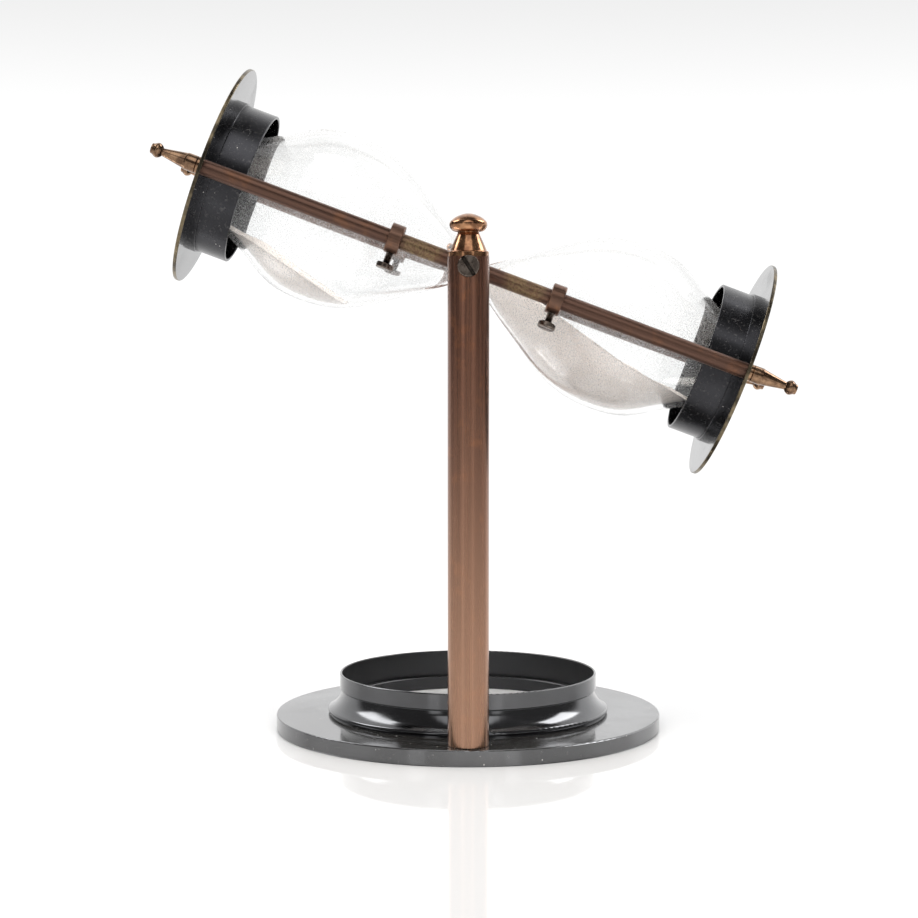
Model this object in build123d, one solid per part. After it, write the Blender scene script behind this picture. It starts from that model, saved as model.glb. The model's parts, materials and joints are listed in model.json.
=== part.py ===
from build123d import *
import math
import os

os.makedirs("parts", exist_ok=True)

# A tilting hourglass: a glass double bulb in a frame of two end discs and two rods, which turns on
# two screws between two posts on a round base. Sizes are in millimetres, +Z is up, the origin is
# the centre of the base's underside, and the two posts stand on the Y axis.

# Clearances
fit_gap = 0.05
thread_gap = 0.05

# Base: a flat flange with a turned collar on it, open in the middle
flange_radius = 81.0
flange_thickness = 6.5
opening_radius = 50.5
flange_edge_rounding = 0.5
collar_top = 23.3
band_radius = 54.3
band_wall = 1.0
band_bottom = 16.6
lip_depth = 0.9
ledge_height = 12.0
ledge_chamfer = 0.3
foot_radius = 59.2
foot_seat_radius = 58.4

# Posts and the finials on them
post_radius = 8.0
post_offset = 71.0
post_top = 195.2
spigot_radius = 5.0
spigot_length = 12.5
finial_ring_radius = 7.9
finial_ring_height = 2.1
finial_cone_radius = 7.2
finial_neck_radius = 4.1
finial_neck_height = 9.1
knob_radius = 7.3
finial_height = 16.5

# Screws under the base: one up into each post, four up into the collar
foot_screw_radius = 2.5
foot_screw_head_radius = 4.8
foot_screw_reach = 12.0
collar_screw_radius = 1.5
collar_screw_head_radius = 2.8
collar_screw_circle = 54.2
collar_screw_reach = 3.6
collar_screw_angles = (45, 135, 225, 315)
head_recess = 0.2
underside_slot_width = 0.9
underside_slot_depth = 0.9

# Pivot
pivot_height = 191.4
timer_tilt = 20.5
pivot_offset = 2.5
pivot_drop = 1.1
shoulder_radius = 2.5
pivot_thread_radius = 1.5
pivot_head_radius = 4.15
pivot_head_thickness = 2.0
pivot_slot_width = 1.4
pivot_slot_depth = 1.0
pivot_slot_angle = 57.0
head_seat_depth = 2.2
inner_flat_depth = 1.0
inner_flat_radius = 5.2
spacer_radius = 4.2

# Timer frame: half lengths are measured from the middle of the glass
disc_radius = 46.5
disc_thickness = 1.5
disc_inner_face = 115.0
rod_radius = 3.3
rod_offset = 41.0
rod_spigot_radius = 2.0
rod_spigot_reach = 4.8
end_collar_radius = 32.0
end_collar_bore = 30.8
end_collar_root_radius = 32.7
end_collar_root_width = 2.8
end_collar_rim = 99.2

# Finials on the rod ends, measured outwards from the disc
rod_finial_radius = 3.5
rod_finial_body = 6.2
rod_finial_cone_radius = 3.25
rod_finial_neck_radius = 1.6
ball_centre = 18.0
ball_radius = 3.02
ball_half_length = 2.65

# Glass, seats and sand
glass_half_length = 112.8
glass_end_radius = 13.0
glass_wall = 1.8
neck_bore = 1.4
filler_radius = 4.0
plug_length = 3.6
seat_radius = 29.0
sand_gap = 0.1

# Clamp rings that slide on the rods, and their thumb screws
clamp_radius = 6.1
clamp_width = 5.6
clamp_distance = 34.0
thumb_screw_radius = 1.5
thumb_thread_depth = 0.22
thumb_thread_pitch = 0.5
thumb_head_radius = 3.6
thumb_head_bottom = 10.4
thumb_head_top = 12.7
thumb_slot_width = 0.8
thumb_slot_depth = 0.9

# Outer outline of the glass from its neck to one end, as (distance from the middle, radius)
glass_stations = [
    (0.0, 4.2),
    (10.0, 9.7),
    (25.0, 20.1),
    (42.0, 31.1),
    (54.0, 35.2),
    (66.0, 36.2),
    (80.0, 34.0),
    (94.0, 26.0),
    (103.0, 21.3),
    (108.0, 18.7),
]

# The timer stands along its own z axis, from the upper end disc to the lower one, with its own
# x axis pointing down and its origin on the pivot. The middle of the glass lies pivot_offset
# along that axis and pivot_drop above the pivot, so the heavier end hangs a little further out.
timer_place = Pos(0, 0, pivot_height) * Rot(0, 90 + timer_tilt, 0)
timer_middle = timer_place * Pos(-pivot_drop, 0, pivot_offset)
lower_end = timer_middle
upper_end = timer_middle * Rot(0, 180, 0)


def turned(outline):
    """Revolve a closed outline, drawn with x as the radius and y as the height, about +Z."""
    return revolve(Plane.XZ * make_face(outline), Axis.Z)


def turned_polygon(points, radii):
    """Revolve a polygon whose corners are rounded by the given radii."""
    return turned(FilletPolyline(*points, radius=radii, close=True))


def cylinder_between(radius, low, high):
    """A cylinder on the Z axis from one height to another."""
    return Pos(0, 0, low) * Cylinder(radius, high - low, align=(Align.CENTER, Align.CENTER, Align.MIN))


def countersink(radius, screw_radius, depth):
    """The conical mouth of a screw hole that opens downwards at height 0."""
    return turned(Polyline((0, 0), (radius, 0), (screw_radius, depth), (0, depth), close=True))


def countersunk_screw(screw_radius, head_radius, length):
    """A slotted countersunk screw that points up, with its head's face at height head_recess."""
    cone_top = head_recess + head_radius - screw_radius
    outline = Polyline(
        (0, head_recess),
        (head_radius, head_recess),
        (screw_radius, cone_top),
        (screw_radius, length),
        (0, length),
        close=True,
    )
    slot = Pos(0, 0, head_recess) * Box(2 * head_radius, underside_slot_width, 2 * underside_slot_depth)
    return turned(outline) - slot


def collar_screw_places():
    """Where the four collar screws stand under the base."""
    return [Rot(0, 0, angle) * Pos(collar_screw_circle, 0, 0) for angle in collar_screw_angles]


def post_places():
    """Where the front and the rear post stand."""
    return {"front": Pos(0, -post_offset, 0), "rear": Pos(0, post_offset, 0)}


def outward(side):
    """Turn a piece that points along +Z outwards through a post: -Y in front, +Y behind."""
    return Rot(90, 0, 0) if side == "front" else Rot(-90, 0, 0)


def base_flange():
    corners = [
        (opening_radius, 0),
        (flange_radius, 0),
        (flange_radius, flange_thickness),
        (opening_radius, flange_thickness),
    ]
    flange = turned_polygon(corners, [0.3, flange_edge_rounding, flange_edge_rounding, 0.3])
    sink_depth = foot_screw_head_radius - foot_screw_radius + head_recess
    for place in post_places().values():
        flange -= place * cylinder_between(foot_screw_radius + thread_gap, 0, flange_thickness)
        flange -= place * countersink(foot_screw_head_radius + head_recess, foot_screw_radius, sink_depth)
    sink_depth = collar_screw_head_radius - collar_screw_radius + head_recess
    for place in collar_screw_places():
        flange -= place * cylinder_between(collar_screw_radius + thread_gap, 0, flange_thickness)
        flange -= place * countersink(collar_screw_head_radius + head_recess, collar_screw_radius, sink_depth)
    return flange


def base_collar():
    seat = flange_thickness
    rim_middle = band_radius - band_wall / 2
    band_inside = band_radius - band_wall
    cove_top = (band_radius - lip_depth, band_bottom - 0.5)
    outline = Polyline((band_inside, collar_top - 0.4), (band_inside, ledge_height),
                       (opening_radius + ledge_chamfer, ledge_height),
                       (opening_radius, ledge_height - ledge_chamfer), (opening_radius, seat),
                       (foot_seat_radius, seat), (foot_seat_radius, seat + 0.5))
    outline += ThreePointArc((foot_seat_radius, seat + 0.5), (foot_radius, seat + 1.5),
                             (foot_seat_radius + 0.3, seat + 2.4))
    outline += ThreePointArc((foot_seat_radius + 0.3, seat + 2.4), (55.3, 11.8), cove_top)
    outline += Polyline(cove_top, (cove_top[0], band_bottom), (band_radius - 0.25, band_bottom),
                        (band_radius, band_bottom + 0.25), (band_radius, collar_top - 0.4))
    outline += ThreePointArc((band_radius, collar_top - 0.4), (rim_middle, collar_top),
                             (band_inside, collar_top - 0.4))
    collar = turned(outline)
    for place in collar_screw_places():
        hole_top = seat + collar_screw_reach + 0.2
        collar -= place * cylinder_between(collar_screw_radius + thread_gap, seat, hole_top)
    return collar


def collar_screw(place):
    return place * countersunk_screw(collar_screw_radius, collar_screw_head_radius,
                                     flange_thickness + collar_screw_reach)


def foot_screw(place):
    return place * countersunk_screw(foot_screw_radius, foot_screw_head_radius,
                                     flange_thickness + foot_screw_reach)


def pivot_cuts(side):
    """What the pivot takes out of a post and its finial: shoulder bore, head seat and inner flat."""
    cuts = Cylinder(shoulder_radius + fit_gap, 3 * post_radius)
    cuts += cylinder_between(pivot_head_radius + 0.15, post_radius - head_seat_depth, 2 * post_radius)
    cuts += cylinder_between(inner_flat_radius, -2 * post_radius, inner_flat_depth - post_radius)
    return Pos(0, 0, pivot_height) * outward(side) * cuts


def post(side):
    """A post with a socket for the finial on top and a stepped cross hole for the pivot screw."""
    body = cylinder_between(post_radius, flange_thickness, post_top)
    body = chamfer(body.faces().sort_by(Axis.Z)[0].edges(), 0.3)
    body -= cylinder_between(spigot_radius + fit_gap, post_top - spigot_length - 0.5, post_top)
    thread_top = flange_thickness + foot_screw_reach + 0.5
    body -= cylinder_between(foot_screw_radius + thread_gap, flange_thickness, thread_top)
    return post_places()[side] * (body - pivot_cuts(side))


def post_finial(side):
    """Ring, cone, neck and flattened knob, with a spigot that the pivot screw passes through."""
    ring_top = finial_ring_height
    underside = (finial_neck_radius + 1.1, finial_neck_height + 0.4)
    widest = (knob_radius, 12.2)
    shoulder = (knob_radius - 0.9, 13.9)
    outline = Polyline((0, finial_height), (0, -spigot_length), (spigot_radius, -spigot_length),
                       (spigot_radius, 0), (finial_ring_radius, 0), (finial_ring_radius, ring_top - 0.5))
    outline += ThreePointArc((finial_ring_radius, ring_top - 0.5), (finial_ring_radius - 0.15, ring_top - 0.15),
                             (finial_ring_radius - 0.5, ring_top))
    outline += Polyline((finial_ring_radius - 0.5, ring_top), (finial_cone_radius, ring_top + 0.1),
                        (finial_neck_radius, finial_neck_height),
                        (finial_neck_radius, finial_neck_height + 0.2), underside)
    outline += ThreePointArc(underside, (knob_radius - 0.45, 10.7), widest)
    outline += ThreePointArc(widest, (knob_radius - 0.2, 13.1), shoulder)
    outline += Spline(shoulder, (4.9, 15.1), (2.9, 16.0), (0, finial_height), tangents=[(-0.85, 1), (-1, 0)])
    finial = Pos(0, 0, post_top) * turned(outline)
    return post_places()[side] * (finial - pivot_cuts(side))


def pivot_screw(side):
    """A slotted shoulder screw: the post turns on its shoulder, its thread holds the rod."""
    thread_start = rod_offset - rod_radius + 0.3
    shoulder_start = rod_offset + rod_radius + 0.1
    head_bottom = post_offset + post_radius - head_seat_depth + fit_gap
    head_top = head_bottom + pivot_head_thickness
    corners = [
        (0, thread_start),
        (pivot_thread_radius, thread_start),
        (pivot_thread_radius, shoulder_start),
        (shoulder_radius, shoulder_start),
        (shoulder_radius, head_bottom),
        (pivot_head_radius, head_bottom),
        (pivot_head_radius, head_top),
        (0, head_top),
    ]
    screw = turned_polygon(corners, [0, 0.2, 0, 0.2, 0, 0.2, 0.35, 0])
    slot = Pos(0, 0, head_top) * Box(2 * pivot_head_radius, pivot_slot_width, 2 * pivot_slot_depth)
    slot_turn = -pivot_slot_angle if side == "front" else pivot_slot_angle
    screw -= Rot(0, 0, slot_turn) * slot
    return Pos(0, 0, pivot_height) * outward(side) * screw


def pivot_spacer(side):
    """A tube on the pivot screw between the post and the rod, saddled to the rod."""
    start = rod_offset + 1.0
    end = post_offset - post_radius + inner_flat_depth - fit_gap
    tube = cylinder_between(spacer_radius, start, end)
    tube -= cylinder_between(shoulder_radius + fit_gap, start, end)
    tube = Pos(0, 0, pivot_height) * outward(side) * tube
    rod_y = -rod_offset if side == "front" else rod_offset
    rod_clearance = timer_middle * Pos(0, rod_y, 0) * Cylinder(rod_radius + fit_gap, 6 * spacer_radius)
    return tube - rod_clearance


def end_disc(end):
    """A thin round plate; the two rods pass through it."""
    inner, outer = disc_inner_face, disc_inner_face + disc_thickness
    corners = [(0, inner), (disc_radius, inner), (disc_radius, outer), (0, outer)]
    disc = turned_polygon(corners, [0, 0.35, 0.35, 0])
    for rod_y in (-rod_offset, rod_offset):
        disc -= Pos(0, rod_y, 0) * cylinder_between(rod_spigot_radius + thread_gap, inner, outer)
    return end * disc


def end_collar(end):
    """The short tube on the inner face of an end disc, with a wider root against the disc."""
    root_start = disc_inner_face - end_collar_root_width
    corners = [
        (end_collar_bore, end_collar_rim),
        (end_collar_radius, end_collar_rim),
        (end_collar_radius, root_start),
        (end_collar_root_radius, root_start),
        (end_collar_root_radius, disc_inner_face),
        (end_collar_bore, disc_inner_face),
    ]
    return end * turned_polygon(corners, [0.25, 0.35, 0, 0.3, 0, 0])


def rod(side):
    """A round bar between the discs, stepped down at both ends and cross drilled at the pivot."""
    tip = disc_inner_face + disc_thickness + rod_spigot_reach
    bar = Cylinder(rod_radius, 2 * disc_inner_face)
    bar += Cylinder(rod_spigot_radius, 2 * tip)
    rod_y = -rod_offset if side == "front" else rod_offset
    bar = timer_middle * Pos(0, rod_y, 0) * bar
    cross_hole = timer_place * Pos(0, rod_y, 0) * Rot(90, 0, 0) * Cylinder(
        pivot_thread_radius + thread_gap, 4 * rod_radius)
    return bar - cross_hole


def rod_finial(side, end):
    """Rounded cylinder, cone, neck and flattened ball, drilled for the end of the rod."""
    hole_radius = rod_spigot_radius + thread_gap
    hole_depth = rod_spigot_reach + 0.3
    body_corner = rod_finial_radius - 0.25
    angles = [math.radians(angle) for angle in (-57, -30, 0, 45, 90)]
    ball_points = [(ball_radius * math.cos(a), ball_centre + ball_half_length * math.sin(a)) for a in angles]
    ball_points[-1] = (0, ball_centre + ball_half_length)
    ball = Spline(*ball_points, tangents=[(1, 0.55), (-1, 0)])
    outline = Polyline(ball @ 1, (0, hole_depth), (hole_radius, hole_depth), (hole_radius, 0),
                       (body_corner, 0), (rod_finial_radius, 0.3), (rod_finial_radius, 1.2),
                       (body_corner, 1.45), (rod_finial_radius, 1.7), (rod_finial_radius, rod_finial_body - 0.7))
    outline += ThreePointArc((rod_finial_radius, rod_finial_body - 0.7),
                             (rod_finial_radius - 0.12, rod_finial_body - 0.25),
                             (rod_finial_cone_radius, rod_finial_body))
    outline += Polyline((rod_finial_cone_radius, rod_finial_body),
                        (rod_finial_neck_radius, (ball @ 0).Y - 0.25), ball @ 0)
    outline += ball
    finial = Pos(0, 0, disc_inner_face + disc_thickness) * turned(outline)
    rod_y = -rod_offset if side == "front" else rod_offset
    return end * Pos(0, rod_y, 0) * finial


def bulb_outline(shrink, neck_radius):
    """One side of the double bulb, from end to end, moved in from the outside by shrink."""
    half_length = glass_half_length - shrink
    scale = half_length / glass_half_length
    half = [(radius - shrink, z * scale) for z, radius in glass_stations[1:]]
    other_half = [(radius, -z) for radius, z in reversed(half)]
    outline = Spline(*other_half, (neck_radius, 0), *half)
    shoulder_radius_at_end, shoulder_z = half[-1]
    bend = ((glass_end_radius - shrink + shoulder_radius_at_end) / 2 + 1.2, half_length - 1.4)
    outline += ThreePointArc((shoulder_radius_at_end, shoulder_z), bend, (glass_end_radius - shrink, half_length))
    outline += ThreePointArc((shoulder_radius_at_end, -shoulder_z), (bend[0], -bend[1]),
                             (glass_end_radius - shrink, -half_length))
    return outline


def glass_bulb():
    """The double bulb, closed at its lower end, with a filling hole at its upper end."""
    inner_end_radius = glass_end_radius - glass_wall
    half_length = glass_half_length
    inner_half_length = half_length - glass_wall
    outline = bulb_outline(0, glass_stations[0][1])
    outline += bulb_outline(glass_wall, neck_bore)
    outline += Polyline((glass_end_radius, half_length), (0, half_length), (0, inner_half_length),
                        (inner_end_radius, inner_half_length))
    outline += Polyline((inner_end_radius, -inner_half_length), (filler_radius, -inner_half_length),
                        (filler_radius, -half_length), (glass_end_radius, -half_length))
    return timer_middle * turned(outline)


def glass_cavity():
    """The space in the glass that sand can fill, a little smaller than the glass's inside."""
    shrink = glass_wall + sand_gap
    end_radius = glass_end_radius - shrink
    half_length = glass_half_length - shrink
    outline = bulb_outline(shrink, neck_bore - sand_gap)
    outline += Polyline((end_radius, half_length), (0, half_length), (0, -half_length),
                        (end_radius, -half_length))
    return turned(outline)


def sand_bed(surface):
    """The part of the glass's inside that lies below a surface curve drawn as (down, along)."""
    first, last = surface @ 0, surface @ 1
    deep = 2 * disc_radius
    outline = surface + Polyline(last, (deep, last.Y), (deep, first.Y), first)
    block = extrude(Plane.XZ * make_face(outline), amount=disc_radius, both=True)
    return timer_middle * (glass_cavity() & block)


def upper_sand():
    """Sand that rests along the low side of the upper bulb."""
    return sand_bed(Line((16.0, -glass_half_length), (32.6, -40.0)))


def lower_sand():
    """Sand heaped from the neck down to the lower end."""
    return sand_bed(ThreePointArc((-3.2, 6.0), (10.9, 62.0), (19.8, glass_half_length)))


def filler_plug():
    top = glass_half_length
    corners = [(0, top - plug_length), (filler_radius - 0.3, top - plug_length),
               (filler_radius - fit_gap, top), (0, top)]
    return upper_end * turned_polygon(corners, [0, 0.3, 0, 0])


def seat_pad(end):
    """A soft disc between the end of the glass and the end disc."""
    low = glass_half_length + fit_gap
    high = disc_inner_face - fit_gap
    corners = [(0, low), (seat_radius, low), (seat_radius, high), (0, high)]
    return end * turned_polygon(corners, [0, 0.4, 0, 0])


def clamp_place(side, distance, turn):
    """A clamp's centre on its rod, turned about the rod from straight down towards the front."""
    rod_y = -rod_offset if side == "front" else rod_offset
    return timer_middle * Pos(0, rod_y, distance) * Rot(0, 0, -turn)


def clamp(place):
    """A ring on the rod with a threaded hole for its thumb screw."""
    half = clamp_width / 2
    bore = rod_radius + fit_gap
    corners = [(bore, -half), (clamp_radius, -half), (clamp_radius, half), (bore, half)]
    ring = turned_polygon(corners, [0.2, 0.45, 0.45, 0.2])
    ring -= Rot(0, 90, 0) * cylinder_between(thumb_screw_radius + thread_gap, 0, 2 * clamp_radius)
    return place * ring


def thumb_screw(place):
    """A slotted thumb screw with ring-shaped thread turns, whose tip just clears the rod."""
    tip = rod_radius + fit_gap
    crest, root = thumb_screw_radius, thumb_screw_radius - thumb_thread_depth
    turns = int((thumb_head_bottom - tip) / thumb_thread_pitch)
    points = [(0, tip)]
    for turn in range(turns):
        start = tip + turn * thumb_thread_pitch
        points += [(root, start), (crest, start + thumb_thread_pitch / 2)]
    points += [(root, thumb_head_bottom)]
    shank = turned(Polyline(*points, (0, thumb_head_bottom), close=True))
    corners = [(0, thumb_head_bottom), (thumb_head_radius, thumb_head_bottom),
               (thumb_head_radius, thumb_head_top), (0, thumb_head_top)]
    head = turned_polygon(corners, [0, 0.4, 0.7, 0])
    head -= Pos(0, 0, thumb_head_top) * Box(2 * thumb_head_radius, thumb_slot_width, 2 * thumb_slot_depth)
    return place * Rot(0, 90, 0) * (shank + head)


# How far each clamp is turned about its rod, and where it sits from the middle of the glass
clamp_settings = {
    "front_upper": ("front", -clamp_distance, 5.0),
    "front_lower": ("front", clamp_distance + 0.4, 14.0),
    "rear_upper": ("rear", -clamp_distance, -4.0),
    "rear_lower": ("rear", clamp_distance, 6.0),
}

nodes = {
    "base_flange": base_flange(),
    "base_collar": base_collar(),
    "glass_bulb": glass_bulb(),
    "filler_plug": filler_plug(),
    "upper_sand": upper_sand(),
    "lower_sand": lower_sand(),
}
for number, place in enumerate(collar_screw_places(), start=1):
    nodes[f"collar_screw_{number}"] = collar_screw(place)
for side, place in post_places().items():
    nodes[f"{side}_post"] = post(side)
    nodes[f"{side}_post_finial"] = post_finial(side)
    nodes[f"{side}_foot_screw"] = foot_screw(place)
    nodes[f"{side}_pivot_screw"] = pivot_screw(side)
    nodes[f"{side}_pivot_spacer"] = pivot_spacer(side)
    nodes[f"{side}_rod"] = rod(side)
for end_name, end in {"upper": upper_end, "lower": lower_end}.items():
    nodes[f"{end_name}_end_disc"] = end_disc(end)
    nodes[f"{end_name}_end_collar"] = end_collar(end)
    nodes[f"{end_name}_seat_pad"] = seat_pad(end)
    for side in ("front", "rear"):
        nodes[f"{side}_{end_name}_finial"] = rod_finial(side, end)
for name, (side, distance, turn) in clamp_settings.items():
    place = clamp_place(side, distance, turn)
    nodes[f"{name}_clamp"] = clamp(place)
    nodes[f"{name}_thumb_screw"] = thumb_screw(place)

for name, shape in nodes.items():
    export_step(shape, f"parts/{name}.step")
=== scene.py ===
"""Looks, camera and studio for the tilting hourglass. Lengths are in metres, +Z is up, and the posts
stand on the Y axis; the camera looks along +Y."""
import json
import math

import bmesh
import bpy
import numpy as np
from mathutils import Matrix, Vector, noise
from mathutils.bvhtree import BVHTree


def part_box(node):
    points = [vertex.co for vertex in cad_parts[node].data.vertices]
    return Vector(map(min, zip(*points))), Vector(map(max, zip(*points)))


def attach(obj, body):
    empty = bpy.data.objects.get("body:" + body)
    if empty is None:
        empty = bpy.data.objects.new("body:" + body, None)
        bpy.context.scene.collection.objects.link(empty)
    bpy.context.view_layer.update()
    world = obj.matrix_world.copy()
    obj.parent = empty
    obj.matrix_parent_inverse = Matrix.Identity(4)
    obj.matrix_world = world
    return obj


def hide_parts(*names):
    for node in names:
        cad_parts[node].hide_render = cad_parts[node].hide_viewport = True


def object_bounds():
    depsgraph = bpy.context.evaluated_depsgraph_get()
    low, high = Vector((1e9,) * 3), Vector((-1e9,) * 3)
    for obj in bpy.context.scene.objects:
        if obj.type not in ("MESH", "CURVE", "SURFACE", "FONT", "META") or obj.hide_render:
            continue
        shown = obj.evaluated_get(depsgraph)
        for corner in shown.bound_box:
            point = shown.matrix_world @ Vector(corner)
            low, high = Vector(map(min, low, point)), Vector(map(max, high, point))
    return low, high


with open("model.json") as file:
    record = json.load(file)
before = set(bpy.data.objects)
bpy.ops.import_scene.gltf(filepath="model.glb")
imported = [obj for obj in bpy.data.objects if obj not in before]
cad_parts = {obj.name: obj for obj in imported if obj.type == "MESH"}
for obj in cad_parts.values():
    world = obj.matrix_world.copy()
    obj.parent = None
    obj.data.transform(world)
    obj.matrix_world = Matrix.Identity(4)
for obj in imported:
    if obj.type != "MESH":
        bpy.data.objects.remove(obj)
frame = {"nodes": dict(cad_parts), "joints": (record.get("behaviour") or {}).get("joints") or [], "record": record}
cad_low, cad_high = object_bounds()
nodes = frame["nodes"]
MM = 0.001  # one millimetre in metres

# The timer's own frame: origin in the middle of the glass, +X along it to the lower end, +Y to the rear
joints = {joint["name"]: joint for joint in frame["joints"]}
timer_axis = Vector(joints["front_upper_clamp_slide"]["axis"]).normalized()
timer_tilt = math.atan2(-timer_axis.z, timer_axis.x)
glass_low, glass_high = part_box("glass_bulb")
timer_middle = (Vector(glass_low) + Vector(glass_high)) / 2
timer_frame = Matrix.Translation(timer_middle) @ Matrix.Rotation(timer_tilt, 4, "Y")


# ---------------------------------------------------------------- node helpers
class Shade:
    """A material under construction: its node tree, and short ways to add nodes to it. place is the
    surface point in the object's own coordinates."""

    def __init__(self, name):
        self.material = bpy.data.materials.new(name)
        self.material.use_nodes = True
        self.tree = self.material.node_tree
        self.tree.nodes.clear()
        self.output = self.add("ShaderNodeOutputMaterial")
        self.place = self.add("ShaderNodeTexCoord").outputs["Object"]

    def add(self, kind, settings=None, **inputs):
        return add_node(self.tree, kind, settings, **inputs)

    def math(self, operation, first, second=0.0, clamp=False):
        return math_node(self.tree, operation, first, second, clamp)

    def vector_math(self, operation, vector, other=None):
        """Vector Math node on a linked vector and, if given, a fixed one."""
        node = self.add("ShaderNodeVectorMath", {"operation": operation})
        self.tree.links.new(vector, node.inputs[0])
        if other is not None:
            node.inputs[1].default_value = other
        return node

    def turned_back(self, vector, turn):
        """Vector turned about Y by -turn."""
        return self.add("ShaderNodeVectorRotate", {"rotation_type": "Y_AXIS"},
                        Vector=vector, Angle=-turn).outputs["Vector"]

    def stretched(self, scale, turn=0.0):
        """Coordinates turned about Y by -turn and then scaled along each axis."""
        return self.vector_math("MULTIPLY", self.turned_back(self.place, turn), scale).outputs["Vector"]

    def noise(self, vector, scale=1.0, detail=2.0, roughness=0.5):
        return self.add("ShaderNodeTexNoise", Vector=vector, Scale=scale, Detail=detail,
                        Roughness=roughness).outputs["Fac"]

    def ramp(self, value, low, high, start=0.0, end=1.0):
        """Value remapped from low..high to start..end, with smooth ends."""
        return smooth_ramp(self.tree, value, low, high, start, end)

    def mix(self, factor, first, second):
        """Colour that goes from first to second with factor."""
        node = self.add("ShaderNodeMix", {"data_type": "RGBA"})
        for index, value in ((0, factor), (6, first), (7, second)):
            put(self.tree, node.inputs[index], value)
        return node.outputs[2]

    def mix_shader(self, factor, first, second):
        """Surface that goes from the node first to the node second with factor."""
        node = self.add("ShaderNodeMixShader", Fac=factor)
        self.tree.links.new(first.outputs[0], node.inputs[1])
        self.tree.links.new(second.outputs[0], node.inputs[2])
        return node

    def bump(self, height, strength, distance):
        return self.add("ShaderNodeBump", Height=height, Strength=strength,
                        Distance=distance).outputs["Normal"]

    def principled(self, **inputs):
        return self.add("ShaderNodeBsdfPrincipled", **inputs)

    def finish(self, surface, volume=None):
        """The finished material, from its surface node and, if given, its volume node."""
        self.tree.links.new(surface.outputs[0], self.output.inputs["Surface"])
        if volume is not None:
            self.tree.links.new(volume.outputs[0], self.output.inputs["Volume"])
        return self.material


def put(tree, socket, value):
    """Link an output to the socket, or set the socket's own value."""
    if isinstance(value, bpy.types.NodeSocket):
        tree.links.new(value, socket)
    elif isinstance(value, (tuple, list)) and len(value) == 3 and socket.type == "RGBA":
        socket.default_value = (*value, 1.0)
    else:
        socket.default_value = value


def add_node(tree, kind, settings=None, **inputs):
    """A new node. An underscore in an input's name stands for a space."""
    node = tree.nodes.new(kind)
    for name, value in (settings or {}).items():
        setattr(node, name, value)
    for name, value in inputs.items():
        put(tree, node.inputs[name.replace("_", " ")], value)
    return node


def math_node(tree, operation, first, second=0.0, clamp=False):
    node = tree.nodes.new("ShaderNodeMath")
    node.operation = operation
    node.use_clamp = clamp
    put(tree, node.inputs[0], first)
    put(tree, node.inputs[1], second)
    return node.outputs["Value"]


def smooth_ramp(tree, value, low, high, start, end):
    """Value remapped from low..high to start..end, with smooth ends."""
    node = add_node(tree, "ShaderNodeMapRange", {"interpolation_type": "SMOOTHSTEP"}, Value=value)
    for name, number in (("From Min", low), ("From Max", high), ("To Min", start), ("To Max", end)):
        node.inputs[name].default_value = number
    return node.outputs["Result"]


def float_mix(tree, factor, first, second):
    """Number that goes from first to second with factor."""
    node = add_node(tree, "ShaderNodeMix", {"data_type": "FLOAT"})
    for index, value in ((0, factor), (2, first), (3, second)):
        put(tree, node.inputs[index], value)
    return node.outputs[0]


def scaled(colour, *factors):
    """Colour with each channel multiplied by its own factor, or all of them by the only one."""
    if len(factors) == 1:
        factors = factors * 3
    return tuple(min(1.0, part * factor) for part, factor in zip(colour, factors))


# ---------------------------------------------------------------- materials
def dust_mask(shade, spacing, amount):
    """Small round specks about spacing apart, on the share amount of the cells."""
    cells = shade.add("ShaderNodeTexVoronoi", Vector=shade.place, Scale=1 / spacing)
    chance = shade.add("ShaderNodeSeparateColor", Color=cells.outputs["Color"]).outputs["Red"]
    chosen = shade.math("LESS_THAN", chance, amount)
    size = shade.ramp(cells.outputs["Distance"], 0.12, 0.22, 1.0, 0.0)
    return shade.math("MULTIPLY", chosen, size)


def radius_about(shade, timer_part):
    """Distance from the timer's axis, or from the Z axis for the parts of the stand."""
    if timer_part:
        moved = shade.vector_math("SUBTRACT", shade.place, timer_middle)
        place = shade.turned_back(moved.outputs["Vector"], timer_tilt)
        flat = shade.vector_math("MULTIPLY", place, (0.0, 1.0, 1.0))
    else:
        flat = shade.vector_math("MULTIPLY", shade.place, (1.0, 1.0, 0.0))
    return shade.vector_math("LENGTH", flat.outputs["Vector"]).outputs["Value"]


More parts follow.
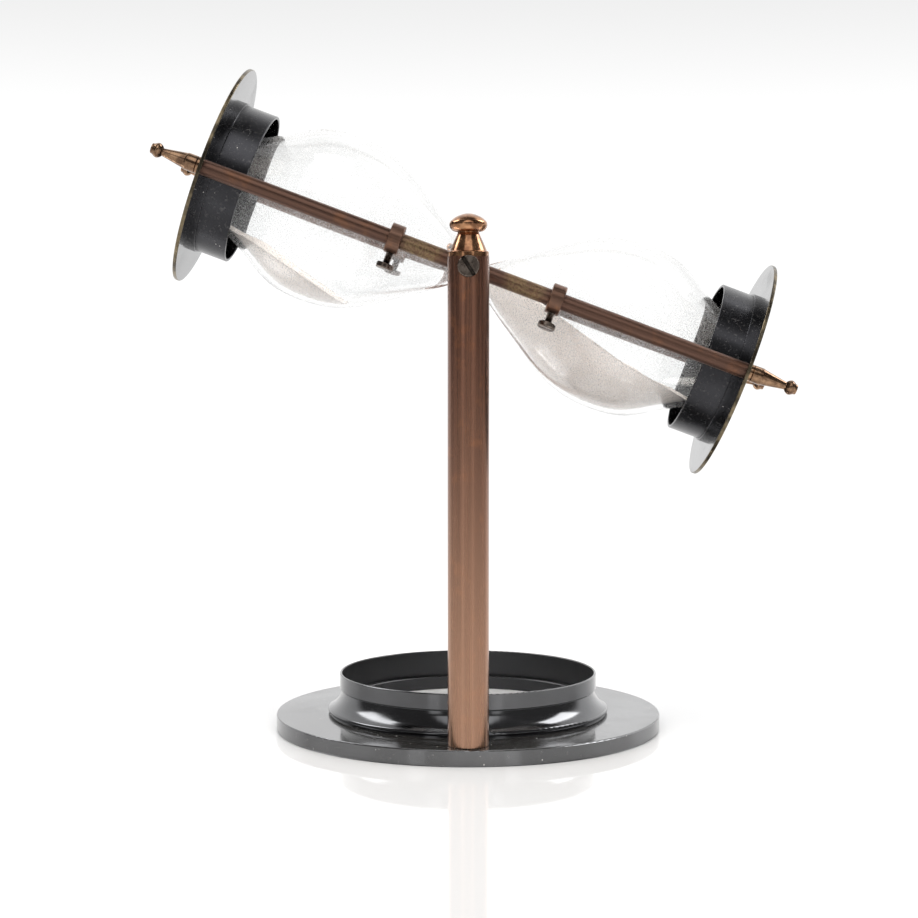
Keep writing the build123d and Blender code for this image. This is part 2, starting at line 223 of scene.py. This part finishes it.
def turned_nickel(name, tint, roughness, timer_part=False, dust=0.0, bright_bore=None, dull_inside=None,
                  brassy_rim=None):
    """Polished black nickel with faint lathe rings, smudges and dust specks. It is bare bright metal
    inside the radius bright_bore, dull inside dull_inside, and worn olive brass outside brassy_rim."""
    shade = Shade(name)
    radius = radius_about(shade, timer_part)
    rings = shade.add("ShaderNodeTexNoise", {"noise_dimensions": "1D"}, W=radius, Scale=2600.0,
                      Detail=2.0).outputs["Fac"]
    smears = shade.noise(shade.stretched((40.0, 40.0, 70.0)), detail=4.0, roughness=0.6)
    cloud = shade.noise(shade.place, scale=22.0, detail=3.0)
    colour = shade.mix(shade.ramp(cloud, 0.3, 0.75), scaled(tint, 0.78), scaled(tint, 1.25))
    rough = shade.math("ADD", shade.ramp(smears, 0.45, 0.75, 0.0, 0.10), roughness)
    if bright_bore:
        bare = shade.math("LESS_THAN", radius, bright_bore)
        colour = shade.mix(bare, colour, (0.93, 0.93, 0.92))
        rough = shade.math("MAXIMUM", rough, shade.math("MULTIPLY", bare, 0.35))
    if dull_inside:
        dull = shade.math("LESS_THAN", radius, dull_inside)
        colour = shade.mix(dull, colour, scaled(tint, 0.7))
        rough = shade.math("MAXIMUM", rough, shade.math("MULTIPLY", dull, 0.42))
    if brassy_rim:
        wear_and_sheen = shade.math("GREATER_THAN", radius, brassy_rim)
        patches = shade.noise(shade.place, scale=160.0, detail=3.0)
        brass = shade.mix(shade.ramp(patches, 0.35, 0.65), (0.06, 0.05, 0.035), (0.20, 0.16, 0.10))
        colour = shade.mix(wear_and_sheen, colour, brass)
        rough = shade.math("MAXIMUM", rough, shade.math("MULTIPLY", wear_and_sheen, 0.30))
    grain = shade.bump(rings, 0.12, 0.00004)
    metal = shade.principled(Base_Color=colour, Metallic=1.0, Roughness=rough, Normal=grain)
    if not dust:
        return shade.finish(metal)
    speck = shade.principled(Base_Color=(0.62, 0.60, 0.57), Roughness=0.9)
    fine = dust_mask(shade, 0.0015, dust)
    thinnest = 0.0 if timer_part else 0.03
    film = shade.ramp(shade.noise(shade.place, scale=900.0, detail=2.0), 0.55, 0.8, thinnest, 0.10)
    return shade.finish(shade.mix_shader(shade.math("MAXIMUM", fine, film), metal, speck))


def brushed_copper(name, dark, light, roughness, turn=None, worn_patches=(), floor_sheen_height=None):
    """Antique copper drawn along one direction: along Z, or along the timer's axis if turn is given.
    A worn patch is (centre, radius), where the brown has rubbed off to a brassy swirl. Below the
    height of the last argument the colour gets gradually paler, a painted reflection of the white floor."""
    shade = Shade(name)
    if turn is None:
        streak_place = shade.stretched((900.0, 900.0, 14.0))
        band_place = shade.stretched((170.0, 170.0, 3.0))
    else:
        streak_place = shade.stretched((16.0, 900.0, 900.0), turn)
        band_place = shade.stretched((5.0, 260.0, 260.0), turn)
    streaks = shade.noise(streak_place, detail=3.0, roughness=0.6)
    bands = shade.noise(band_place, detail=2.0)
    blotches = shade.noise(shade.place, scale=120.0, detail=4.0, roughness=0.65)
    share = shade.math("ADD", shade.math("MULTIPLY", streaks, 0.55), shade.math("MULTIPLY", bands, 0.45))
    colour = shade.mix(shade.ramp(share, 0.26, 0.74), dark, light)
    warm = scaled(light, 1.25, 1.05, 0.80)
    colour = shade.mix(shade.ramp(blotches, 0.52, 0.74, 0.0, 0.55), colour, warm)
    rough = shade.math("ADD", shade.ramp(streaks, 0.3, 0.7, 0.0, 0.12), roughness)
    # Painted reflection: the copper is painted paler towards its foot, as if it mirrored the white floor
    if floor_sheen_height:
        height = shade.add("ShaderNodeSeparateXYZ", Vector=shade.place).outputs["Z"]
        wear_and_sheen = shade.ramp(height, 0.02, floor_sheen_height, 0.42, 0.0)
        colour = shade.mix(wear_and_sheen, colour, (0.64, 0.39, 0.26))
    for centre, reach in worn_patches:
        away = shade.vector_math("DISTANCE", shade.place, centre).outputs["Value"]
        near = shade.ramp(away, 0.55 * reach, reach, 1.0, 0.0)
        swirl = shade.add("ShaderNodeTexNoise", Vector=shade.place, Scale=420.0, Detail=3.0,
                          Distortion=2.4).outputs["Fac"]
        mask = shade.math("MULTIPLY", near, shade.ramp(swirl, 0.40, 0.62, 0.25, 1.0))
        colour = shade.mix(shade.math("MULTIPLY", mask, 0.8), colour, (0.27, 0.19, 0.10))
        rough = shade.math("ADD", rough, shade.math("MULTIPLY", mask, 0.10))
    grain = shade.bump(streaks, 0.25, 0.00006)
    metal = shade.principled(Base_Color=colour, Metallic=0.92, Roughness=rough, Normal=grain)
    return shade.finish(metal)


def polished_copper(name, dark, light, roughness):
    """Lacquered antique copper of the small turned pieces, with darker tarnish in patches."""
    shade = Shade(name)
    tarnish = shade.noise(shade.place, scale=260.0, detail=4.0, roughness=0.6)
    fine = shade.noise(shade.place, scale=1500.0, detail=2.0)
    colour = shade.mix(shade.ramp(tarnish, 0.36, 0.62), dark, light)
    rough = shade.math("ADD", shade.ramp(fine, 0.4, 0.8, 0.0, 0.10), roughness)
    metal = shade.principled(Base_Color=colour, Metallic=1.0, Roughness=rough,
                             Normal=shade.bump(tarnish, 0.15, 0.00008))
    metal.inputs["Coat Weight"].default_value = 0.2
    metal.inputs["Coat Roughness"].default_value = 0.06
    return shade.finish(metal)


def blackened_steel(name):
    """Brown-black screws with greyer wear in faint patches, and painted shade in their slots and threads."""
    shade = Shade(name)
    wear = shade.noise(shade.place, scale=500.0, detail=3.0, roughness=0.6)
    crevice_shade = shade.add("ShaderNodeAmbientOcclusion", {"samples": 8}, Distance=0.0016).outputs["AO"]
    colour = shade.mix(shade.ramp(wear, 0.45, 0.75), (0.15, 0.12, 0.10), (0.24, 0.20, 0.17))
    # Painted shade: the colour goes near black where ambient occlusion finds slots and threads
    colour = shade.mix(shade.ramp(crevice_shade, 0.45, 0.85), (0.004, 0.004, 0.004), colour)
    rough = shade.ramp(wear, 0.35, 0.7, 0.22, 0.32)
    metal = shade.principled(Base_Color=colour, Metallic=1.0, Roughness=rough,
                             Normal=shade.bump(wear, 0.12, 0.00004))
    return shade.finish(metal)


def plain_steel(name):
    """Bright steel of the screws under the base, with fine turning lines."""
    shade = Shade(name)
    lines = shade.noise(shade.stretched((1500.0, 1500.0, 60.0)), detail=3.0)
    colour = shade.mix(lines, (0.42, 0.42, 0.43), (0.62, 0.62, 0.61))
    rough = shade.ramp(lines, 0.3, 0.7, 0.28, 0.42)
    metal = shade.principled(Base_Color=colour, Metallic=1.0, Roughness=rough,
                             Normal=shade.bump(lines, 0.2, 0.00005))
    return shade.finish(metal)


def soft_rubber(name, colour):
    """Dark matt rubber with fine pores."""
    shade = Shade(name)
    pores = shade.noise(shade.place, scale=1800.0, detail=3.0)
    tone = shade.mix(pores, scaled(colour, 0.8), scaled(colour, 1.3))
    body = shade.principled(Base_Color=tone, Roughness=0.75, Normal=shade.bump(pores, 0.4, 0.0001))
    return shade.finish(body)


def dusty_glass(name):
    """Clear blown glass with a thin speckled film of dust on its outside. The dust is lit from outside,
    so it scatters light back outwards and lets it through inwards."""
    shade = Shade(name)
    ripple = shade.bump(shade.noise(shade.place, scale=28.0, detail=0.0), 0.03, 0.0010)
    clear = shade.principled(Base_Color=(0.995, 1.0, 1.0), Roughness=0.0, IOR=1.45, Normal=ripple)
    clear.inputs["Transmission Weight"].default_value = 1.0
    chalk = (0.97, 0.965, 0.96)
    front_lit = shade.add("ShaderNodeBsdfDiffuse", Color=chalk)
    back_lit = shade.add("ShaderNodeBsdfTranslucent", Color=chalk)
    seen_from_inside = shade.add("ShaderNodeNewGeometry").outputs["Backfacing"]
    powder = shade.mix_shader(seen_from_inside, front_lit, back_lit)
    grains = shade.ramp(shade.noise(shade.place, scale=2100.0, detail=2.0, roughness=0.7), 0.50, 0.62)
    drifts = shade.ramp(shade.noise(shade.place, scale=60.0, detail=3.0), 0.3, 0.7, 0.6, 1.2)
    cover = shade.math("MULTIPLY", shade.math("ADD", shade.math("MULTIPLY", grains, 0.38), 0.05), drifts)
    outside = shade.add("ShaderNodeAttribute", {"attribute_name": "outside"}).outputs["Fac"]
    dusty = shade.mix_shader(shade.math("MULTIPLY", cover, outside), clear, powder)
    tint = shade.add("ShaderNodeVolumeAbsorption", Color=(0.80, 0.82, 0.83), Density=12.0)
    return shade.finish(dusty, tint)


def fine_sand(name):
    """Pale quartz sand with sparse dark grains."""
    shade = Shade(name)
    grains = shade.add("ShaderNodeTexVoronoi", Vector=shade.place, Scale=3400.0)
    tones = shade.add("ShaderNodeSeparateColor", Color=grains.outputs["Color"])
    cloud = shade.noise(shade.place, scale=90.0, detail=3.0)
    base = shade.mix(cloud, (0.86, 0.76, 0.695), (0.93, 0.845, 0.78))
    base = shade.mix(shade.ramp(tones.outputs["Red"], 0.0, 1.0, 0.0, 0.35), base, (0.95, 0.90, 0.86))
    dark_grain = shade.math("LESS_THAN", tones.outputs["Green"], 0.012)
    base = shade.mix(dark_grain, base, (0.10, 0.07, 0.06))
    relief = shade.bump(grains.outputs["Distance"], 0.6, 0.0003)
    body = shade.principled(Base_Color=base, Roughness=0.95, Normal=relief)
    return shade.finish(body)


# ---------------------------------------------------------------- glass and sand
GLASS_WALL = 1.8 * MM
FILLER_HOLE_RADIUS = 4.0 * MM
GLASS_END_ROUND = 2.4 * MM  # how far from its flat ends the glass starts to round in
INSIDE_FLAT, OUTSIDE_FLAT = 0.78, 0.75  # radius of the flat end faces, as a share of the radius beside them
SAND_END_GAP = 0.5 * MM  # between the sand and the end of the glass
SAND_WALL_GAP = 0.12 * MM

# Where the slopes of the sand's top meet: distance along the timer's axis, and depth below that axis
UPPER_SAND_TOP = ((-0.112, 0.0165), (-0.090, 0.0195), (-0.036, 0.0335))
LOWER_SAND_TOP = ((0.006, -0.003), (0.028, 0.0025), (0.070, 0.014), (0.112, 0.0195))
# Slow waves, ripples and single grains on the sand: how fine they are, and how high in millimetres
SAND_RELIEF = ((75.0, 1.5), (260.0, 0.5), (1400.0, 0.22))

glass_tree = BVHTree.FromPolygons(
    [vertex.co for vertex in nodes["glass_bulb"].data.vertices],
    [polygon.vertices for polygon in nodes["glass_bulb"].data.polygons],
)


def wall_radii(along, rays=24):
    """Distances from the timer's axis to the inside and to the outside of the glass, all the way round."""
    start = timer_frame @ Vector((along, 0.0, 0.0))
    inside, outside = [], []
    for step in range(rays):
        angle = 2 * math.pi * step / rays
        direction = timer_frame.to_3x3() @ Vector((0.0, math.cos(angle), math.sin(angle)))
        inner = glass_tree.ray_cast(start, direction)[0]
        outer = glass_tree.ray_cast(inner + 0.1 * MM * direction, direction)[0]
        inside.append((inner - start).length)
        outside.append((outer - start).length)
    return inside, outside


def inside_radius(along):
    """Distance from the timer's axis to the inside of the glass, a little to the safe side."""
    return min(wall_radii(along, rays=12)[0]) - SAND_WALL_GAP


def add_piece(name, data, node, slot):
    """A finer piece that rides on the timer in place of a CAD node."""
    for polygon in data.polygons:
        polygon.use_smooth = True
    data.materials.append(materials[slot])
    piece = bpy.data.objects.new(name, data)
    bpy.context.scene.collection.objects.link(piece)
    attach(piece, "timer")
    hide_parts(node)


def blown_glass(steps=176, around=128):
    """The double bulb turned afresh from the radii of the CAD piece, evened out along its length."""
    first, last = span_in_timer("glass_bulb")
    reach = last - GLASS_END_ROUND
    stations = [reach * (2 * step / steps - 1) for step in range(steps + 1)]
    radii = [wall_radii(along) for along in stations]
    kernel = np.array([1.0, 2.0, 3.0, 2.0, 1.0]) / 9

    def side(index):
        """Evened (distance, radius) points of the inside, index 0, or of the outside, index 1."""
        raw = np.array([max(pair[index]) for pair in radii])
        even = np.convolve(np.pad(raw, 2, "edge"), kernel, "valid")
        return list(zip(stations, even))

    def end_round(start, end, flat):
        """Points from start, the side's last point, round to the flat face at end. flat is the face's
        radius as a share of start's."""
        along, radius = start
        rim = flat * radius
        points = []
        for angle in (22.5, 45.0, 67.5, 90.0):
            turn = math.radians(angle)
            points.append((along + (end - along) * math.sin(turn), rim + (radius - rim) * math.cos(turn)))
        return points

    inside, outside = side(0), side(1)
    inner_first, inner_last = first + GLASS_WALL, last - GLASS_WALL
    path = [
        (inner_last, 0.0),
        *reversed(end_round(inside[-1], inner_last, INSIDE_FLAT)),
        *reversed(inside),
        *end_round(inside[0], inner_first, INSIDE_FLAT),
        (inner_first, FILLER_HOLE_RADIUS),
        (first, FILLER_HOLE_RADIUS),
        *reversed(end_round(outside[0], first, OUTSIDE_FLAT)),
        *outside,
        *end_round(outside[-1], last, OUTSIDE_FLAT),
        (last, 0.0),
    ]
    mesh = bmesh.new()
    corners = [mesh.verts.new((along, 0.0, radius)) for along, radius in path]
    lines = [mesh.edges.new(pair) for pair in zip(corners, corners[1:])]
    bmesh.ops.spin(mesh, geom=corners + lines, axis=(1, 0, 0), cent=(0, 0, 0), dvec=(0, 0, 0),
                   angle=2 * math.pi, steps=around, use_merge=True)
    bmesh.ops.remove_doubles(mesh, verts=mesh.verts[:], dist=0.002 * MM)
    bmesh.ops.recalc_face_normals(mesh, faces=mesh.faces[:])
    layer = mesh.verts.layers.float.new("outside")
    middle = [(low + high) / 2 for (_, low), (_, high) in zip(inside, outside)]
    for vertex in mesh.verts:
        radius = math.hypot(vertex.co.y, vertex.co.z)
        vertex[layer] = float(radius > np.interp(vertex.co.x, stations, middle))
    mesh.transform(timer_frame)
    data = bpy.data.meshes.new("blown_glass")
    mesh.to_mesh(data)
    mesh.free()
    add_piece("blown_glass", data, "glass_bulb", "clear_glass")


def sand_pile(name, node, surface, first, last, stations=150, around=72, across=40):
    """A body of sand in the glass between two distances along the timer's axis. surface gives how far
    its top lies below the axis, square to it. The rest of it follows the inside of the glass. The
    top's relief fades out towards the glass."""
    mesh = bmesh.new()
    rings = []
    for index in range(stations + 1):
        along = first + (last - first) * index / stations
        radius = inside_radius(along)
        top = max(-0.999 * radius, min(0.97 * radius, surface(along)))
        half_angle = math.acos(top / radius)
        ring = []
        for step in range(around + 1):
            angle = half_angle * (2 * step / around - 1)
            ring.append(Vector((along, radius * math.sin(angle), -radius * math.cos(angle))))
        half_width = radius * math.sin(half_angle)
        for step in range(1, across):
            share = 1 - 2 * step / across
            edge = 1 - share * share
            spot = Vector((along, half_width * share, -top))
            relief = sum(noise.noise(spot * fineness) * rise for fineness, rise in SAND_RELIEF)
            spot.z += relief * MM * min(1.0, edge * 1.6)
            ring.append(spot)
        rings.append([mesh.verts.new(timer_frame @ spot) for spot in ring])
    count = len(rings[0])
    for one, two in zip(rings, rings[1:]):
        for step in range(count):
            following = (step + 1) % count
            mesh.faces.new((one[step], one[following], two[following], two[step]))
    mesh.faces.new(list(reversed(rings[0])))
    mesh.faces.new(rings[-1])
    bmesh.ops.recalc_face_normals(mesh, faces=mesh.faces[:])
    data = bpy.data.meshes.new(name)
    mesh.to_mesh(data)
    mesh.free()
    add_piece(name, data, node, "sand")


def span_in_timer(node):
    """First and last distance along the timer's axis that a CAD node takes up."""
    inverse = timer_frame.inverted()
    places = [(inverse @ vertex.co).x for vertex in nodes[node].data.vertices]
    return min(places), max(places)


def slopes_through(points):
    """Function of distance with straight slopes between (distance, depth) points, and flat beyond them."""
    def depth(along):
        if along <= points[0][0]:
            return points[0][1]
        for (start, low), (end, high) in zip(points, points[1:]):
            if along <= end:
                share = (along - start) / (end - start)
                return low + (high - low) * share
        return points[-1][1]
    return depth


# ---------------------------------------------------------------- build
BASE_BORE = 0.0509  # radius just outside the wall of the flange's opening
COLLAR_INSIDE = 0.0534  # radius just outside the collar's inner wall
DISC_RIM = 0.0462  # radius just inside the edge of an end disc
copper_dark, copper_light = (0.11, 0.051, 0.035), (0.25, 0.121, 0.079)
rod_dark, rod_light = (0.075, 0.042, 0.032), (0.17, 0.094, 0.067)
worn_patches = [(timer_frame @ Vector((along, -0.041, 0.0015)), 0.011) for along in (-0.023, 0.021)]
materials = {
    "base_nickel": turned_nickel("base_nickel", (0.15, 0.152, 0.157), 0.10, dust=0.05,
                                 bright_bore=BASE_BORE),
    "collar_nickel": turned_nickel("collar_nickel", (0.115, 0.116, 0.12), 0.12,
                                   dull_inside=COLLAR_INSIDE),
    "disc_gunmetal": turned_nickel("disc_gunmetal", (0.105, 0.105, 0.107), 0.13, timer_part=True,
                                   dust=0.01, brassy_rim=DISC_RIM),
    "end_collar_gunmetal": turned_nickel("end_collar_gunmetal", (0.045, 0.045, 0.049), 0.24,
                                         timer_part=True, dust=0.02),
    # The post's foot is painted paler below 0.17 m, a painted reflection of the white floor
    "post_copper": brushed_copper("post_copper", copper_dark, copper_light, 0.20, floor_sheen_height=0.17),
    "rod_copper": brushed_copper("rod_copper", rod_dark, rod_light, 0.30, timer_tilt, worn_patches),
    "spacer_copper": brushed_copper("spacer_copper", copper_dark, copper_light, 0.30),
    "knob_copper": polished_copper("knob_copper", (0.20, 0.092, 0.046), (0.44, 0.225, 0.115), 0.15),
    "finial_copper": polished_copper("finial_copper", (0.13, 0.072, 0.042), (0.32, 0.195, 0.115), 0.18),
    "clamp_copper": brushed_copper("clamp_copper", (0.09, 0.05, 0.036), (0.21, 0.12, 0.084), 0.30,
                                   timer_tilt),
    "black_screw": blackened_steel("black_screw"),
    "plain_steel": plain_steel("plain_steel"),
    "clear_glass": dusty_glass("clear_glass"),
    "sand": fine_sand("sand"),
    "plug_rubber": soft_rubber("plug_rubber", (0.10, 0.10, 0.10)),
    "seat_rubber": soft_rubber("seat_rubber", (0.12, 0.12, 0.12)),
}
for subpart in frame["record"]["subparts"]:
    data = nodes[subpart["node"]].data
    data.materials.clear()
    data.materials.append(materials[subpart["material_slot"]])

blown_glass()
upper_start, upper_end = span_in_timer("upper_sand")
lower_start, lower_end = span_in_timer("lower_sand")
sand_pile("upper_sand_pile", "upper_sand", slopes_through(UPPER_SAND_TOP),
          upper_start + SAND_END_GAP, upper_end)
sand_pile("lower_sand_pile", "lower_sand", slopes_through(LOWER_SAND_TOP),
          lower_start, lower_end - SAND_END_GAP)


# ---------------------------------------------------------------- studio
def studio_world():
    """White tent at the sides and behind, a dim room in front with two narrow strips of light and a
    softbox above it, and a strong softbox at each side. Only mirror reflections see it. Straight rays
    and rays that have passed through glass see a white backdrop, and scattered rays an even surround."""
    world = bpy.data.worlds.new("studio")
    bpy.context.scene.world = world
    world.use_nodes = True
    world.cycles.sampling_method = "NONE"
    tree = world.node_tree
    tree.nodes.clear()
    direction = add_node(tree, "ShaderNodeTexCoord").outputs["Generated"]
    parts = add_node(tree, "ShaderNodeSeparateXYZ", Vector=direction)
    across, depth, height = parts.outputs["X"], parts.outputs["Y"], parts.outputs["Z"]
    azimuth = math_node(tree, "ARCTAN2", across, math_node(tree, "MULTIPLY", depth, -1.0))
    away = math_node(tree, "ABSOLUTE", azimuth)

    def by_angle(angle, low, high, start, end):
        """Smooth ramp over an angle in radians, between two limits in degrees."""
        return smooth_ramp(tree, angle, math.radians(low), math.radians(high), start, end)

    def by_elevation(low, high, start, end):
        """Smooth ramp over the height above the horizon, between two limits in degrees."""
        low, high = math.sin(math.radians(low)), math.sin(math.radians(high))
        return smooth_ramp(tree, height, low, high, start, end)

    def panel(angle, centre, half_width, low, high, strength):
        """A rectangle of light: its middle and half width in azimuth, its low and high edges."""
        offset = math_node(tree, "ABSOLUTE", math_node(tree, "SUBTRACT", angle, math.radians(centre)))
        lit = by_angle(offset, 0.7 * half_width, half_width, strength, 0.0)
        above = by_elevation(low - 3, low, 0.0, 1.0)
        below = by_elevation(high, high + 4, 1.0, 0.0)
        return math_node(tree, "MULTIPLY", lit, math_node(tree, "MULTIPLY", above, below))

    # The tent begins 108 degrees from the front and leaves the top of the sky dark
    tent = by_angle(away, 108, 122, 0.0, 1.12)
    tent = math_node(tree, "MULTIPLY", tent, smooth_ramp(tree, height, 0.80, 0.97, 1.0, 0.1))
    studio = math_node(tree, "ADD", tent, 0.14)
    left_strip = panel(azimuth, -30, 6, -4, 20, 1.3)
    right_strip = panel(azimuth, 26, 5, -4, 20, 1.1)
    top_softbox = panel(azimuth, 0, 37, 32, 84, 1.5)
    side_softboxes = panel(away, 110, 16, 29, 54, 7.0)
    for lamp in (left_strip, right_strip, top_softbox, side_softboxes):
        studio = math_node(tree, "ADD", studio, lamp)

    # In Cycles a refracted ray counts as a glossy one too, so mirror reflections are the glossy rays that
    # are not refracted. Light scattered through glass gets a brighter surround, to make up for its losses
    path = add_node(tree, "ShaderNodeLightPath")
    refracted = path.outputs["Is Transmission Ray"]
    scattered = math_node(tree, "MINIMUM", path.outputs["Diffuse Depth"], 1.0)
    mirrored = math_node(tree, "SUBTRACT", path.outputs["Is Glossy Ray"], refracted, clamp=True)
    surround = math_node(tree, "ADD", math_node(tree, "MULTIPLY", refracted, 1.25), 1.2)
    backdrop = by_elevation(4.5, 11.5, 1.08, 0.85)
    front_dimming = smooth_ramp(tree, depth, -0.5, 0.4, 0.82, 1.03)
    through_glass = math_node(tree, "MULTIPLY", backdrop, front_dimming)
    seen = float_mix(tree, refracted, backdrop, through_glass)
    seen = float_mix(tree, scattered, seen, surround)
    level = float_mix(tree, mirrored, seen, studio)
    background = add_node(tree, "ShaderNodeBackground", Color=(1.0, 1.0, 1.0), Strength=level)
    output = add_node(tree, "ShaderNodeOutputWorld")
    tree.links.new(background.outputs["Background"], output.inputs["Surface"])


def white_floor():
    """A sheet of white acrylic, large enough to have no visible edge."""
    mesh = bmesh.new()
    bmesh.ops.create_grid(mesh, x_segments=24, y_segments=24, size=14.0)
    data = bpy.data.meshes.new("studio_floor")
    mesh.to_mesh(data)
    mesh.free()
    shade = Shade("white_acrylic")
    haze = shade.noise(shade.place, scale=3.0, detail=2.0)
    white = shade.mix(haze, (0.86, 0.86, 0.865), (0.88, 0.88, 0.88))
    matt = shade.add("ShaderNodeBsdfDiffuse", Color=white)
    gloss = shade.add("ShaderNodeBsdfGlossy", Color=(1.0, 1.0, 1.0), Roughness=0.05)
    data.materials.append(shade.finish(shade.mix_shader(0.27, matt, gloss)))
    floor = bpy.data.objects.new("studio_floor", data)
    floor.location.z = cad_low.z - 0.05 * MM
    bpy.context.scene.collection.objects.link(floor)


def softbox(name, place, aim, size, power, colour):
    """A rectangular lamp that points at aim and shows in no reflection."""
    data = bpy.data.lights.new(name, "AREA")
    data.shape = "RECTANGLE"
    data.size, data.size_y = size
    data.energy = power
    data.color = colour
    light = bpy.data.objects.new(name, data)
    light.location = place
    light.rotation_euler = (Vector(aim) - Vector(place)).to_track_quat("-Z", "Y").to_euler()
    light.visible_glossy = False
    bpy.context.scene.collection.objects.link(light)


def studio_camera():
    """Camera in front of the object, below its top and looking slightly down."""
    data = bpy.data.cameras.new("camera")
    data.lens = 74.34
    data.sensor_width = 36.0
    data.clip_start = 0.01
    data.clip_end = 100.0
    camera = bpy.data.objects.new("camera", data)
    place = Vector((-0.0016, -0.7986, 0.1624))
    yaw, pitch = math.radians(-0.157), math.radians(3.511)
    look = Vector((math.sin(yaw) * math.cos(pitch), math.cos(yaw) * math.cos(pitch), -math.sin(pitch)))
    camera.matrix_world = Matrix.Translation(place) @ look.to_track_quat("-Z", "Y").to_matrix().to_4x4()
    bpy.context.scene.collection.objects.link(camera)
    bpy.context.scene.camera = camera


studio_world()
white_floor()
softbox("overhead_softbox", (0.0, -0.15, 1.0), (0.0, 0.0, 0.1), (0.45, 0.30), 3.0, (1.0, 0.95, 0.88))
studio_camera()
bpy.context.scene.view_settings.view_transform = "Standard"
